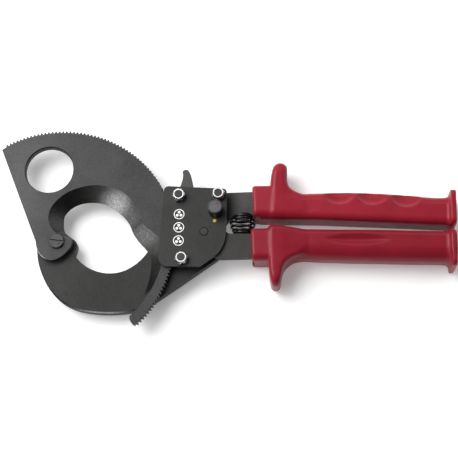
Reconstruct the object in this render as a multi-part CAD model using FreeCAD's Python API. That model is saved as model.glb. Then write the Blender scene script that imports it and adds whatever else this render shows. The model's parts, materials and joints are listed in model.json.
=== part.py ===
import FreeCAD, Part
import os, math
from FreeCAD import Vector as V

os.makedirs("parts", exist_ok=True)

# ---------------------------------------------------------------- dimensions
# Drawing frame: blade pivot axis at x=0 y=0, shear plane at z=0.
# Everything is moved by SHIFT at export so the origin is the middle of the
# footprint with z=0 at the lowest point.
SHIFT = (-102.95, -10.15, 11.9)

T_FRAME = 6.0          # frame plate, z -6..0
T_BLADE = 5.0          # moving blade, z 0..5 (shear gap below)
SHEAR_GAP = 0.05
Z_GAP_TOP = 5.5        # underside of the cover plate
Z_COVER = 7.5          # top of the cover plate
Z_LEVER0, Z_LEVER1 = 0.10, 5.30

PIVOT_R = 3.5
PIVOT_FIT = 0.05
HEAD_R, HEAD_H = 4.65, 1.8
SLOT_W, SLOT_D, SLOT_ANG = 1.15, 1.1, -8.0

TIP_R, ROOT_R = 72.7, 71.4       # ratchet teeth
PITCH = 360.0 / 198.0
TEETH_FROM, TEETH_TO = -46.3, 120.6
HANG_C, HANG_R = (-6.7, 46.8), 15.0

BOLT_UL = (74.9, 27.2)
BOLT_UR = (99.1, 27.7)
BOLT_LO = (76.9, -12.9)
BOLT_R = 2.5
BUSH_R = 4.5
NUT_AF, NUT_H, NUT_HEX_H = 8.0, 5.0, 3.4

RIVET = (90.4, 4.4)
RIVET_R = 2.5
KNOB = (97.5, 17.4)
KNOB_R, KNOB_TOP = 4.6, 16.4
CAM_R = 2.4
CAM_DIR = 61.3
DRIVE_PIN = (82.0, 10.5)
SPRING_X = 113.7
SPRING_TOP, SPRING_BOT = 17.3, 3.5
WIRE_R = 0.72
HANDLE_OPEN = 30.0
HOLD_ENGAGE = 4.3

GRIP_END = 243.2


# ------------------------------------------------------------------- helpers
def save(name, shape):
    s = shape.copy()
    s.translate(V(*SHIFT))
    s.exportStep("parts/%s.step" % name)


def cyl(c, r, z0, z1):
    return Part.makeCylinder(r, z1 - z0, V(c[0], c[1], z0))


def tube(c, r, ri, z0, z1):
    return cyl(c, r, z0, z1).cut(cyl(c, ri, z0 - 1, z1 + 1))


def spline(pts, z):
    b = Part.BSplineCurve()
    b.interpolate([V(x, y, z) for x, y in pts])
    return b.toShape()


def line(a, b, z):
    return Part.makeLine(V(a[0], a[1], z), V(b[0], b[1], z))


def path(z, *runs):
    """runs: lists of points; 2 points make a line, more make a spline."""
    out = []
    for r in runs:
        out.append(line(r[0], r[1], z) if len(r) == 2 else spline(r, z))
    return Part.Wire(out)


def poly(pts, z0, z1):
    p = [V(x, y, z0) for x, y in pts]
    p.append(p[0])
    return Part.Face(Part.makePolygon(p)).extrude(V(0, 0, z1 - z0))


def prism(wire, h):
    return Part.Face(wire).extrude(V(0, 0, h))


def rot(p, ang, c=(0, 0)):
    a = math.radians(ang)
    x, y = p[0] - c[0], p[1] - c[1]
    return (c[0] + x * math.cos(a) - y * math.sin(a),
            c[1] + x * math.sin(a) + y * math.cos(a))


def polar(r, ang, c=(0, 0)):
    a = math.radians(ang)
    return (c[0] + r * math.cos(a), c[1] + r * math.sin(a))


def hexagon(c, af, z0, z1, turn=0.0):
    return poly([polar(af / math.sqrt(3), 60 * k + turn, c) for k in range(6)], z0, z1)


def hex_nut(c, af, z0, z1, turn=0.0):
    h = hexagon(c, af, z0, z1, turn)
    big = af / math.sqrt(3)
    k = 0.45 * (big - af / 2) + 0.25
    low = Part.makeCone(big - k, big + 0.4, k + 0.4, V(c[0], c[1], z0))
    mid = cyl(c, big + 0.4, z0 + k + 0.4, z1 - k - 0.4)
    top = Part.makeCone(big + 0.4, big - k, k + 0.4, V(c[0], c[1], z1 - k - 0.4))
    return h.common(low.fuse([mid, top]))


def circle_pts(c, r, a0, a1, n):
    return [polar(r, a0 + (a1 - a0) * k / (n - 1.0), c) for k in range(n)]


# ------------------------------------------------------------- holding pawl
# nose tip just clear of the tooth tips at rest; it drops into a valley when
# turned HOLD_ENGAGE degrees clockwise about the upper left bolt bush
NOSE = polar(TIP_R + 0.15, 8.0)
NOSE_IN = rot(NOSE, -HOLD_ENGAGE, BOLT_UL)
VALLEY = math.degrees(math.atan2(NOSE_IN[1], NOSE_IN[0]))

# -------------------------------------------------------------- moving blade
teeth = []
k0 = int(math.ceil((TEETH_FROM - VALLEY) / PITCH))
k1 = int(math.floor((TEETH_TO - VALLEY) / PITCH))
for k in range(k0, k1):
    a = VALLEY + k * PITCH
    teeth.append(polar(ROOT_R, a - 0.13))
    teeth.append(polar(ROOT_R, a + 0.13))
    teeth.append(polar(TIP_R, a + PITCH / 2 - 0.13))
    teeth.append(polar(TIP_R, a + PITCH / 2 + 0.13))
teeth.append(polar(ROOT_R, VALLEY + k1 * PITCH - 0.13))

corner = (-37.3, 60.6)
z0b = SHEAR_GAP
eye = [(-12.9, 0.0), (-12.2, -3.6), (-10.9, -6.8), (-8.9, -9.4), (-6.2, -11.2),
       (-2.8, -11.8), (1.2, -10.8), (4.8, -8.3), (7.8, -4.8), (9.4, -1.2)]
tail = [(46.0, -46.0), (46.1, -48.9), (47.3, -51.3), (49.3, -52.4)]
edges = [line(tail[-1], teeth[0], z0b)]
for a, b in zip(teeth[:-1], teeth[1:]):
    edges.append(line(a, b, z0b))
edges += [line(teeth[-1], corner, z0b),
          line(corner, eye[0], z0b),
          spline(eye, z0b),
          line(eye[-1], (9.5, 0.9), z0b),
          line((9.5, 0.9), (30.0, -10.0), z0b),
          line((30.0, -10.0), tail[0], z0b),
          spline(tail, z0b)]
blade = prism(Part.Wire(edges), T_BLADE - z0b)

# ground throat: cutting edge at z=0, bevel running back to the front face
edge_a = [(9.5, 0.9), (6.9, 2.8), (4.7, 5.6), (3.4, 9.4), (3.1, 13.6), (3.5, 17.4), (5.5, 20.4),
          (9.5, 23.7), (14.4, 25.6), (21.1, 26.2), (27.9, 25.0), (33.8, 22.0),
          (38.1, 18.5), (41.8, 14.6), (45.6, 7.6)]
bev_a = [(9.7, 1.1), (5.4, 3.3), (0.6, 4.9), (-3.6, 8.6), (-5.7, 13.4), (-5.5, 19.0), (-1.6, 26.0),
         (5.9, 32.0), (14.6, 35.2), (23.2, 36.2), (31.6, 34.8), (40.0, 31.2),
         (46.9, 24.1), (50.6, 18.2), (52.6, 11.6)]
edge_b = [(45.6, 7.6), (47.4, 4.0), (51.0, -0.8), (55.3, -5.6), (57.5, -10.5),
          (57.9, -16.4), (56.6, -24.6), (53.3, -34.4), (47.0, -44.4)]
bev_b = [(52.6, 11.6), (55.2, 8.2), (59.8, 4.6), (64.0, -0.4), (65.8, -7.0),
         (64.8, -15.0), (61.6, -24.8), (56.4, -34.9), (47.4, -46.2)]


def throat(ea, eb, z):
    return path(z, ea, eb, [eb[-1], (30.0, -60.0)], [(30.0, -60.0), (16.0, -12.0)],
                [(16.0, -12.0), ea[0]])


def extrap(pa, pb, t):
    return [(a[0] + (b[0] - a[0]) * t, a[1] + (b[1] - a[1]) * t) for a, b in zip(pa, pb)]


span = T_BLADE - z0b
lo_t, hi_t = -0.3 / span, 1 + 0.3 / span
cutter = Part.makeLoft([throat(extrap(edge_a, bev_a, lo_t), extrap(edge_b, bev_b, lo_t), z0b - 0.3),
                        throat(extrap(edge_a, bev_a, hi_t), extrap(edge_b, bev_b, hi_t), T_BLADE + 0.3)],
                       True, True)
blade = blade.cut(cutter)
blade = blade.cut(cyl(HANG_C, HANG_R, -1, 6))
blade = blade.cut(cyl((0, 0), PIVOT_R + PIVOT_FIT, -1, 6))
ring = [e for e in blade.Edges if isinstance(e.Curve, Part.Circle)
        and abs(e.Curve.Radius - HANG_R) < 1e-3]
try:
    blade = blade.makeChamfer(0.5, ring)
except Exception as err:
    print("hang hole chamfer left off", err)
rim = [e for e in blade.Edges if isinstance(e.Curve, Part.BSplineCurve) and e.BoundBox.ZMin > T_BLADE - 0.01
       and abs(e.BoundBox.YMin + 11.8) < 0.6]
for width in (0.6, 0.4):
    try:
        trial = blade.makeChamfer(width, rim)
        if trial.isValid() and len(trial.Solids) == 1 and 0 < blade.Volume - trial.Volume < 60:
            blade = trial
            break
    except Exception as err:
        print("eye chamfer left off", err)
blade = blade.Solids[0]
save("moving_blade", blade)
print("blade", blade.isValid(), round(blade.Volume), blade.ShapeType, len(blade.Solids))

# --------------------------------------------------------------- frame plate
f_cut = [(10.5, -7.1), (14.3, -11.9), (21.1, -16.6), (27.7, -18.8), (33.5, -19.3),
         (39.1, -18.5), (45.6, -15.6), (51.3, -11.1), (55.9, -5.4), (59.5, 1.2),
         (61.6, 8.4), (62.4, 16.0)]
f_out = [(-13.0, -1.0), (-12.4, -8.7), (-10.8, -15.1), (-8.7, -20.4), (-4.4, -28.2),
         (2.1, -35.4), (10.5, -40.6), (18.7, -42.9), (26.0, -43.9), (35.8, -44.2),
         (47.2, -43.0), (54.4, -40.8), (60.0, -37.6)]
eye_rim = [(-13.0, -1.0), (-12.6, 3.5), (-10.0, 8.4), (-5.2, 11.0), (0.0, 10.3), (3.2, 7.6), (6.2, 5.0),
           (9.4, 2.6), (11.2, 0.9), (11.8, -1.6), (11.4, -4.2), (10.7, -6.3)]
# the outer rim of the jaw has a narrow ground chamfer on the front face
RIM = 0.75


def inset(pts, d):
    out = []
    for i, (x, y) in enumerate(pts):
        p, q = pts[max(i - 1, 0)], pts[min(i + 1, len(pts) - 1)]
        tx, ty = q[0] - p[0], q[1] - p[1]
        r = math.hypot(tx, ty)
        out.append((x - ty / r * d, y + tx / r * d))
    return out


def frame_wire(z, d):
    rim = inset(f_out, d)
    last = rim[-1]
    runs = [
        [(62.4, 16.0), (66.2, 31.6)],
        [(66.2, 31.6), (68.6, 33.2)],
        [(68.6, 33.2), (101.2, 31.6)],
        [(101.2, 31.6), (124.0, 32.1)],
        [(124.0, 32.1), (126.0, 26.6)],
        [(126.0, 26.6), (214.0, 22.6)],
        [(214.0, 22.6), (214.0, 12.8)],
        [(214.0, 12.8), (126.0, 16.8)],
        [(126.0, 16.8), (122.0, 17.4)],
        [(122.0, 17.4), (109.4, 17.4)],
        [(109.4, 17.4), (107.2, 15.6), (104.8, 13.7), (103.2, 11.4), (102.8, 8.2)],
        [(102.8, 8.2), (102.4, -1.0)],
        [(102.4, -1.0), (101.6, -5.0), (99.6, -9.8)],
        [(99.6, -9.8), (75.1, -27.2)],
        [(75.1, -27.2), last],
        rim[::-1],
        [rim[0]] + eye_rim[1:],
        [eye_rim[-1], (13.5, -9.0)],
        [(13.5, -9.0), (33.0, 6.0)],
        [(33.0, 6.0), (62.4, 16.0)],
    ]
    return path(z, *runs)


frame = prism(frame_wire(-T_FRAME, 0.0), T_FRAME - RIM)
frame = frame.fuse(Part.makeLoft([frame_wire(-RIM, 0.0), frame_wire(0.0, RIM)], True, True))

# lower jaw throat, ground from the back
THC = (33.0, 9.0)


def grow(pts, d):
    out = []
    for x, y in pts:
        r = math.hypot(x - THC[0], y - THC[1])
        out.append((x + (x - THC[0]) / r * d, y + (y - THC[1]) / r * d))
    return out


f_bev = [(p[0], p[1]) for p in grow(f_cut, 7.0)]
# the ground face fades out at the pivot eye and under the cover
f_bev[0] = (f_cut[0][0] - 1.2, f_cut[0][1] - 1.6)
f_bev[1] = (f_cut[1][0] - 3.2, f_cut[1][1] - 3.6)
f_bev[-1] = (f_cut[-1][0] + 1.6, f_cut[-1][1])
f_bev[-2] = (f_cut[-2][0] + 3.6, f_cut[-2][1] - 0.6)


def jaw(e, z):
    return path(z, e, [e[-1], (54.0, 34.0)], [(54.0, 34.0), (18.0, 20.0)], [(18.0, 20.0), (13.4, -2.6)],
                [(13.4, -2.6), e[0]])


jt = 0.3 / T_FRAME
jaw_cut = Part.makeLoft([jaw(extrap(f_cut, f_bev, -jt), 0.3), jaw(extrap(f_cut, f_bev, 1 + jt), -T_FRAME - 0.3)],
                        True, True)
frame = frame.cut(jaw_cut)

# spring tab below the upper tang
tab_u = poly([(110.3, 17.6), (117.5, 17.6), (117.5, 14.6), (116.7, 13.8), (111.1, 13.8), (110.3, 14.6)],
             -2.3, 0.0)
frame = frame.fuse(tab_u)
for c, r in ((BOLT_UL, BOLT_R + 0.05), (BOLT_UR, BOLT_R + 0.05), (BOLT_LO, BOLT_R + 0.05),
             (RIVET, RIVET_R), (KNOB, CAM_R + 0.05), ((0, 0), PIVOT_R)):
    frame = frame.cut(cyl(c, r, -7, 1))
frame = frame.removeSplitter()
save("frame_plate", frame)
print("frame", frame.isValid(), round(frame.Volume), len(frame.Solids))

# --------------------------------------------------------------- cover plate
cv = [
    [(65.6, 31.6), (66.6, 33.3), (68.4, 33.9)],
    [(68.4, 33.9), (101.2, 31.9)],
    [(101.2, 31.9), (103.6, 31.1), (104.2, 28.8)],
    [(104.2, 28.8), (104.3, 18.0), (103.9, 6.0), (103.2, -0.4), (101.5, -5.4), (98.6, -9.8)],
    [(98.6, -9.8), (89.2, -16.5)],
    [(89.2, -16.5), (87.8, -17.3), (86.2, -17.6)],
    [(86.2, -17.6), (69.4, -17.3)],
    [(69.4, -17.3), (65.0, -16.1), (63.1, -13.3), (62.8, -10.6)],
    [(62.8, -10.6), (65.6, 31.6)],
]
cover = prism(path(Z_GAP_TOP, *cv), Z_COVER - Z_GAP_TOP)
for c, r in ((BOLT_UL, BOLT_R + 0.05), (BOLT_UR, BOLT_R + 0.05), (BOLT_LO, BOLT_R + 0.05),
             (RIVET, RIVET_R), (KNOB, CAM_R + 0.05)):
    cover = cover.cut(cyl(c, r, 5, 8))
DOT_Y = (96.8, 11.2)
cover = cover.cut(cyl(DOT_Y, 1.05, Z_COVER - 0.3, 8))
save("cover_plate", cover)
save("index_dot", cyl(DOT_Y, 1.05, Z_COVER - 0.3, Z_COVER + 0.03))
print("cover", cover.isValid(), round(cover.Volume))

# ------------------------------------------------------------- pivot fastener
head = cyl((0, 0), HEAD_R, T_BLADE + 0.05, T_BLADE + 0.05 + HEAD_H)
head = head.makeChamfer(0.3, [e for e in head.Edges if e.BoundBox.ZMin > T_BLADE + HEAD_H - 0.2 and
                              isinstance(e.Curve, Part.Circle)])
slot = Part.makeBox(12, SLOT_W, 3, V(-6, -SLOT_W / 2, T_BLADE + 0.05 + HEAD_H - SLOT_D))
slot.rotate(V(0, 0, 0), V(0, 0, 1), SLOT_ANG)
screw = head.cut(slot).fuse(cyl((0, 0), PIVOT_R, -11.9, T_BLADE + 0.05))
tip = [e for e in screw.Edges if e.BoundBox.ZMax < -11.8 and isinstance(e.Curve, Part.Circle)]
screw = screw.makeChamfer(0.5, tip)
save("pivot_screw", screw)
save("pivot_washer", tube((0, 0), 6.6, PIVOT_R, -7.0, -6.0))
nut = hex_nut((0, 0), 11.0, -11.2, -7.0, 12).cut(cyl((0, 0), PIVOT_R, -13, -6))
save("pivot_nut", nut)

# ---------------------------------------------------------- housing fasteners
turns = {BOLT_UL: 8.0, BOLT_UR: 22.0, BOLT_LO: 14.0}
screws, nuts, rings, bushes = [], [], [], []
for c in (BOLT_UL, BOLT_UR, BOLT_LO):
    hd = cyl(c, 4.4, -9.2, -6.0)
    hd = hd.makeChamfer(0.4, [e for e in hd.Edges if e.BoundBox.ZMax < -9.1 and
                              isinstance(e.Curve, Part.Circle)])
    hd = hd.cut(hexagon(c, 4.0, -10, -7.2, 10))
    sk = cyl(c, BOLT_R, -7.2, Z_COVER + NUT_H + 0.15)
    sk = sk.makeChamfer(0.35, [e for e in sk.Edges if e.BoundBox.ZMin > 12.5 and
                               isinstance(e.Curve, Part.Circle)])
    hd = hd.fuse(sk.common(cyl(c, 6, -6.6, 20)))
    screws.append(hd.removeSplitter())
    n = hex_nut(c, NUT_AF, Z_COVER, Z_COVER + NUT_HEX_H, turns[c])
    col = cyl(c, 3.75, Z_COVER + NUT_HEX_H - 0.3, Z_COVER + NUT_H)
    col = col.makeFillet(0.7, [e for e in col.Edges if e.BoundBox.ZMin > Z_COVER + NUT_H - 0.05 and
                               isinstance(e.Curve, Part.Circle)])
    n = n.fuse(col).cut(cyl(c, BOLT_R, 7, 13)).cut(cyl(c, 3.05, Z_COVER + NUT_HEX_H + 0.3, 13))
    nuts.append(n.removeSplitter())
    rings.append(tube(c, 3.05, BOLT_R, Z_COVER + NUT_HEX_H + 0.3, Z_COVER + NUT_H - 0.15))
    bushes.append(tube(c, BUSH_R, BOLT_R, 0.0, Z_GAP_TOP))
save("housing_screws", Part.makeCompound(screws))
save("housing_nuts", Part.makeCompound(nuts))
save("nut_lock_rings", Part.makeCompound(rings))
save("housing_bushes", Part.makeCompound(bushes))

# ------------------------------------------------------------- handle pivot pin
pin = cyl(RIVET, RIVET_R, -T_FRAME, Z_COVER)
foot = cyl(RIVET, 3.9, -T_FRAME - 1.3, -T_FRAME)
foot = foot.makeFillet(0.8, [e for e in foot.Edges if e.BoundBox.ZMax < -T_FRAME - 1.2 and
                             isinstance(e.Curve, Part.Circle)])
dome = cyl(RIVET, 2.3, Z_COVER - 0.1, Z_COVER + 0.35)
dome = dome.makeFillet(0.2, [e for e in dome.Edges if e.BoundBox.ZMin > Z_COVER + 0.3 and
                             isinstance(e.Curve, Part.Circle)])
save("handle_pivot_pin", pin.fuse([foot, dome]).removeSplitter())

# ---------------------------------------------------------------- handle lever
R = RIVET
TOP_R = 14.5
p_arc0, p_arc1 = 50.0, 101.5
full = [polar(TOP_R, a, R) for a in [p_arc0 + (p_arc1 - p_arc0) * k / 12.0 for k in range(13)]]
full += [polar(17.0, 101.9, R), polar(17.0, 107.0, R), polar(16.8, 111.5, R),
         (86.1, 14.2), (86.4, 10.2)]
full += [polar(6.8, a, R) for a in range(132, 262, 13)]
full += [(92.0, -6.4), (94.4, -9.6), (97.4, -11.4), (100.6, -11.9), (118.0, -11.7), (124.0, -11.4),
         (126.0, -8.6), (214.0, -10.6), (214.0, -0.8), (126.0, 2.2),
         (117.6, 3.3), (106.6, 3.4), (105.0, 3.8), (103.4, 5.0), (102.0, 7.2), (100.8, 11.0)]
lever = poly(full, Z_LEVER0, Z_LEVER1)
lug = cyl(DRIVE_PIN, 3.5, Z_LEVER0, 2.5)
dx, dy = DRIVE_PIN[0] - R[0], DRIVE_PIN[1] - R[1]
dl = math.hypot(dx, dy)
nx, ny = -dy / dl, dx / dl
lug = lug.fuse(poly([(R[0] + nx * 6.6, R[1] + ny * 6.6), (DRIVE_PIN[0] + nx * 3.4, DRIVE_PIN[1] + ny * 3.4),
                     (DRIVE_PIN[0] - nx * 3.4, DRIVE_PIN[1] - ny * 3.4), (R[0] - nx * 6.6, R[1] - ny * 6.6)],
                    Z_LEVER0, 2.5))
lug = lug.fuse(cyl(R, 7.4, Z_LEVER0, 2.5))
lever = lever.fuse(lug)
tab_l = poly([(110.3, 3.2), (117.5, 3.2), (117.5, 6.0), (116.7, 6.8), (111.1, 6.8), (110.3, 6.0)],
             Z_LEVER0, 2.3)
lever = lever.fuse(tab_l)
lever = lever.cut(cyl(R, RIVET_R + 0.05, -1, 6))
kr = math.hypot(KNOB[0] - R[0], KNOB[1] - R[1])
ka = math.degrees(math.atan2(KNOB[1] - R[1], KNOB[0] - R[0]))
for a in (ka, ka + HANDLE_OPEN):
    lever = lever.cut(cyl(polar(kr, a, R), CAM_R + 0.15, -1, 6))
lever = lever.cut(cyl(DRIVE_PIN, 1.6, -1, 6))
lever = lever.removeSplitter()
save("handle_lever", lever)
print("lever", lever.isValid(), round(lever.Volume), len(lever.Solids))
save("drive_pawl_pin", cyl(DRIVE_PIN, 1.6, 0.15, 5.25))

# ------------------------------------------------------------------ drive pawl
dn = polar(TIP_R + 0.2, -3.1)
ux, uy = (dn[0] - DRIVE_PIN[0]), (dn[1] - DRIVE_PIN[1])
ul = math.hypot(ux, uy)
ux, uy = ux / ul, uy / ul
sx, sy = -uy, ux           # to the right of the arm when looking along it


def on_arm(t, s):
    return (DRIVE_PIN[0] + ux * t + sx * s, DRIVE_PIN[1] + uy * t + sy * s)


a_dir = math.degrees(math.atan2(dn[1], dn[0]))
flank_up = polar(1.9, a_dir + 32, dn)
flank_dn = polar(3.4, a_dir - 26, dn)
dp = poly([dn, flank_dn, on_arm(11.0, 2.2), on_arm(2.0, 3.0), on_arm(0, 3.1), on_arm(0, -3.1),
           on_arm(6.0, -2.7), flank_up], 2.6, 5.2)
dp = dp.fuse(cyl(DRIVE_PIN, 3.1, 2.6, 5.2)).cut(cyl(DRIVE_PIN, 1.65, 2, 6))
dp = dp.cut(tube(DRIVE_PIN, 3.3, 1.5, 3.9, 6))
dp = dp.removeSplitter()
save("drive_pawl", dp)
print("drive pawl", dp.isValid(), round(dp.Volume), len(dp.Solids))
ds = Part.makeTorus(2.35, 0.42, V(DRIVE_PIN[0], DRIVE_PIN[1], 4.6))
save("drive_pawl_spring", ds)

# ---------------------------------------------------------------- holding pawl
hp = cyl(BOLT_UL, 6.35, 0.15, 3.5)
arm = [NOSE, polar(3.0, 8 - 28, NOSE), (75.5, 10.6), (76.0, 13.4), (79.6, 21.6), (76.0, 27.0), (70.2, 24.6),
       (71.4, 20.4), (72.7, 14.4), polar(1.5, 8 + 34, NOSE)]
hp = hp.fuse(poly(arm, 0.15, 3.5))
fin = path(0.15, [(73.4, 31.0), (75.7, 35.2)], [(75.7, 35.2), (76.7, 39.0), (77.0, 41.2), (76.7, 43.4)],
           [(76.7, 43.4), (77.6, 45.1), (79.2, 45.4), (80.9, 44.0)],
           [(80.9, 44.0), (82.1, 41.2), (82.8, 38.4), (83.3, 35.2)],
           [(83.3, 35.2), (80.6, 29.4)], [(80.6, 29.4), (73.4, 31.0)])
finp = prism(fin, 5.05)
finp = finp.cut(cyl(BOLT_UL, 6.9, 3.5, 6))
hp = hp.fuse(finp)
hp = hp.cut(cyl(BOLT_UL, BUSH_R + 0.05, -1, 6))
hp = hp.removeSplitter()
save("holding_pawl", hp)
print("holding pawl", hp.isValid(), round(hp.Volume), len(hp.Solids))
hs = Part.makeTorus(5.25, 0.5, V(BOLT_UL[0], BOLT_UL[1], 4.05))
hs = hs.fuse(Part.makeTorus(5.25, 0.5, V(BOLT_UL[0], BOLT_UL[1], 4.85)))
save("holding_pawl_spring", hs)

# ------------------------------------------------------------------------ lock
shaft = cyl(KNOB, CAM_R, -T_FRAME - 0.9, Z_COVER)
shaft = shaft.fuse(cyl(KNOB, 3.55, Z_COVER + 1.2, KNOB_TOP + 0.05)).fuse(cyl(KNOB, CAM_R, Z_COVER - 0.5, Z_COVER + 2))
flat = Part.makeBox(3.0, 6.0, 5.35, V(-3.0 - 0.15, -3.0, 0.05))
flat.rotate(V(0, 0, 0), V(0, 0, 1), CAM_DIR)
flat.translate(V(KNOB[0], KNOB[1], 0))
shaft = shaft.cut(flat)
DOT_R = (98.9, 19.3)
shaft = shaft.cut(cyl(DOT_R, 0.95, KNOB_TOP - 0.25, 20)).removeSplitter()
save("lock_shaft", shaft)
knob = cyl(KNOB, KNOB_R, Z_COVER + 0.1, KNOB_TOP)
knob = knob.makeFillet(0.45, [e for e in knob.Edges if e.BoundBox.ZMin > KNOB_TOP - 0.05 and
                              isinstance(e.Curve, Part.Circle)])
knob = knob.cut(cyl(KNOB, CAM_R, 7, 9)).cut(cyl(KNOB, 3.55, Z_COVER + 1.2, 20))
save("lock_knob", knob)
save("lock_dot", cyl(DOT_R, 0.95, KNOB_TOP - 0.25, KNOB_TOP + 0.08))
clip = tube(KNOB, 3.6, CAM_R, -T_FRAME - 0.85, -T_FRAME - 0.1)
gap = Part.makeBox(6, 2.6, 3, V(0, -1.3, -8))
gap.rotate(V(0, 0, 0), V(0, 0, 1), 200)
gap.translate(V(KNOB[0], KNOB[1], 0))
save("lock_clip", clip.cut(gap))

# --------------------------------------------------------------- handle spring
coils = 6
n_pts = coils * 10 + 1
axis_len = SPRING_TOP - SPRING_BOT - 2 * WIRE_R
pts = []
for k in range(n_pts):
    t = k / float(n_pts - 1)
    rr = 5.25 + 2.15 * math.sin(math.pi * t) ** 2
    th = 2 * math.pi * coils * t + math.pi / 2
    pts.append(V(SPRING_X + rr * math.cos(th), SPRING_BOT + WIRE_R + axis_len * t, rr * math.sin(th)))
bs = Part.BSplineCurve()
bs.interpolate(pts)
spine = Part.Wire(bs.toShape())
tan = bs.tangent(bs.FirstParameter)[0]
prof = Part.Wire(Part.makeCircle(WIRE_R, pts[0], tan))
sp = spine.makePipeShell([prof], True, True)
save("handle_spring", sp)
print("spring", sp.isValid(), round(sp.Volume))


# ----------------------------------------------------------------------- grips
def section(x, yc, a, c, r):
    y0, y1, z0, z1 = yc - a, yc + a, -c, c
    k = r * (1 - math.sqrt(0.5))
    e = []
    e.append(Part.makeLine(V(x, y0 + r, z0), V(x, y1 - r, z0)))
    e.append(Part.Arc(V(x, y1 - r, z0), V(x, y1 - k, z0 + k), V(x, y1, z0 + r)).toShape())
    e.append(Part.makeLine(V(x, y1, z0 + r), V(x, y1, z1 - r)))
    e.append(Part.Arc(V(x, y1, z1 - r), V(x, y1 - k, z1 - k), V(x, y1 - r, z1)).toShape())
    e.append(Part.makeLine(V(x, y1 - r, z1), V(x, y0 + r, z1)))
    e.append(Part.Arc(V(x, y0 + r, z1), V(x, y0 + k, z1 - k), V(x, y0, z1 - r)).toShape())
    e.append(Part.makeLine(V(x, y0, z1 - r), V(x, y0, z0 + r)))
    e.append(Part.Arc(V(x, y0, z0 + r), V(x, y0 + k, z0 + k), V(x, y0 + r, z0)).toShape())
    return Part.Wire(e)


def loft(rows, ruled=False):
    return Part.makeLoft([section(*r) for r in rows], True, ruled)


def disc_guard(x0, x1, yc, h, c, bottom, top):
    """rounded guard plate across the handle, cut flat where it meets the other half"""
    rows = [(x0, yc, h - 1.2, c - 1.2, 7.0), (x0 + 1.4, yc, h, c, 8.0),
            (x1 - 1.4, yc, h, c, 8.0), (x1, yc, h - 1.2, c - 1.2, 7.0)]
    return loft(rows, True)


def make_grip(body, collar, guard, flange):
    g = loft(body)
    g = g.fuse([loft(collar, True), guard, flange])
    return g


def fin_guard(pts, c):
    w = Part.makePolygon([V(x, y, -c) for x, y in pts] + [V(pts[0][0], pts[0][1], -c)])
    return Part.Face(w).extrude(V(0, 0, 2 * c))


up_body = [(128.0, 20.45, 8.45, 9.7, 6.0), (150.0, 20.26, 8.46, 9.6, 6.0), (165.0, 20.05, 8.92, 9.6, 6.0),
           (185.0, 19.5, 9.3, 9.6, 6.0), (212.0, 17.85, 9.25, 9.6, 6.0), (240.6, 15.9, 9.0, 9.6, 6.0)]
up_collar = [(120.1, 23.3, 9.1, 10.2, 3.6), (121.3, 23.3, 9.9, 11.0, 4.2), (130.0, 23.3, 9.9, 11.0, 4.2),
             (131.4, 23.3, 9.6, 10.7, 4.2)]
up_guard = fin_guard([(130.6, 13.4), (130.6, 30.0), (131.1, 36.0), (131.6, 40.2), (132.3, 43.6), (132.9, 46.0),
                      (134.2, 48.4), (135.6, 49.4), (137.2, 49.8), (138.8, 49.4), (140.2, 48.5), (141.1, 47.1),
                      (141.5, 45.4), (141.5, 40.0), (141.5, 36.4), (142.0, 33.6), (143.2, 31.8), (145.2, 30.4),
                      (148.0, 29.2), (151.0, 28.6), (151.0, 13.6)], 11.4)
up_guard = up_guard.common(loft([(130.0, 26.0, 24.6, 11.4, 8.0), (140.0, 26.0, 24.6, 10.9, 8.0),
                                 (151.4, 26.0, 24.6, 9.6, 8.0)], True))
up_flange = loft([(238.6, 16.6, 9.2, 9.9, 6.0), (239.9, 17.75, 10.75, 11.9, 3.6),
                  (242.7, 17.75, 10.75, 11.9, 3.6), (GRIP_END, 17.75, 10.25, 11.4, 3.2)], True)
upper = make_grip(up_body, up_collar, up_guard, up_flange)

lo_body = [(126.0, -3.3, 9.1, 9.7, 6.0), (150.0, -3.39, 8.89, 9.6, 6.0), (165.0, -4.1, 9.15, 9.6, 6.0),
           (185.0, -4.72, 9.28, 9.6, 6.0), (212.0, -5.66, 9.3, 9.6, 6.0), (240.2, -6.45, 9.35, 9.6, 6.0)]
lo_collar = [(119.0, -4.43, 9.3, 10.2, 3.6), (120.2, -4.43, 10.07, 11.0, 4.2), (129.0, -4.43, 10.07, 11.0, 4.2),
             (130.4, -4.43, 9.8, 10.7, 4.2)]
lo_guard = fin_guard([(129.6, 8.0), (129.4, -12.0), (129.5, -18.5), (129.8, -21.0), (130.2, -24.0),
                      (130.6, -26.8), (131.0, -28.4), (131.7, -29.9), (132.8, -30.8), (134.0, -31.0),
                      (135.1, -30.4), (136.0, -28.9), (136.5, -27.2), (136.9, -25.0), (137.2, -22.5),
                      (137.6, -20.3), (138.2, -18.3), (139.2, -16.6), (140.6, -15.1), (142.3, -13.9),
                      (144.6, -12.9), (148.0, -12.3), (151.0, -12.2), (151.0, 5.0), (146.0, 5.7), (140.0, 7.2),
                      (136.5, 8.2)], 11.4)
lo_guard = lo_guard.common(loft([(129.0, -11.4, 19.8, 11.4, 7.5), (140.0, -11.4, 19.8, 10.9, 7.5),
                                 (151.4, -11.4, 19.8, 9.6, 7.5)], True))
lo_flange = loft([(238.0, -7.0, 9.6, 9.9, 6.0), (239.2, -8.4, 10.9, 11.9, 3.6),
                  (242.3, -8.4, 10.9, 11.9, 3.6), (242.8, -8.4, 10.4, 11.4, 3.2)], True)
lower = make_grip(lo_body, lo_collar, lo_guard, lo_flange)

# finger scallops on the outside of the upper grip
for xs, yt in ((172.7, 29.1), (193.2, 28.3), (213.7, 26.9)):
    upper = upper.cut(Part.makeCylinder(60.0, 40, V(xs, yt + 59.55, -20)).common(
        Part.makeBox(18.0, 20, 40, V(xs - 9.0, 22, -20))))
# thumb recess in the front of the lower grip
lens = Part.makeSphere(90, V(182.0, -3.0, 9.6 + 88.9))
lower = lower.cut(lens.common(Part.makeBox(60, 8.0, 6, V(152, -6.0, 5))))
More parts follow.
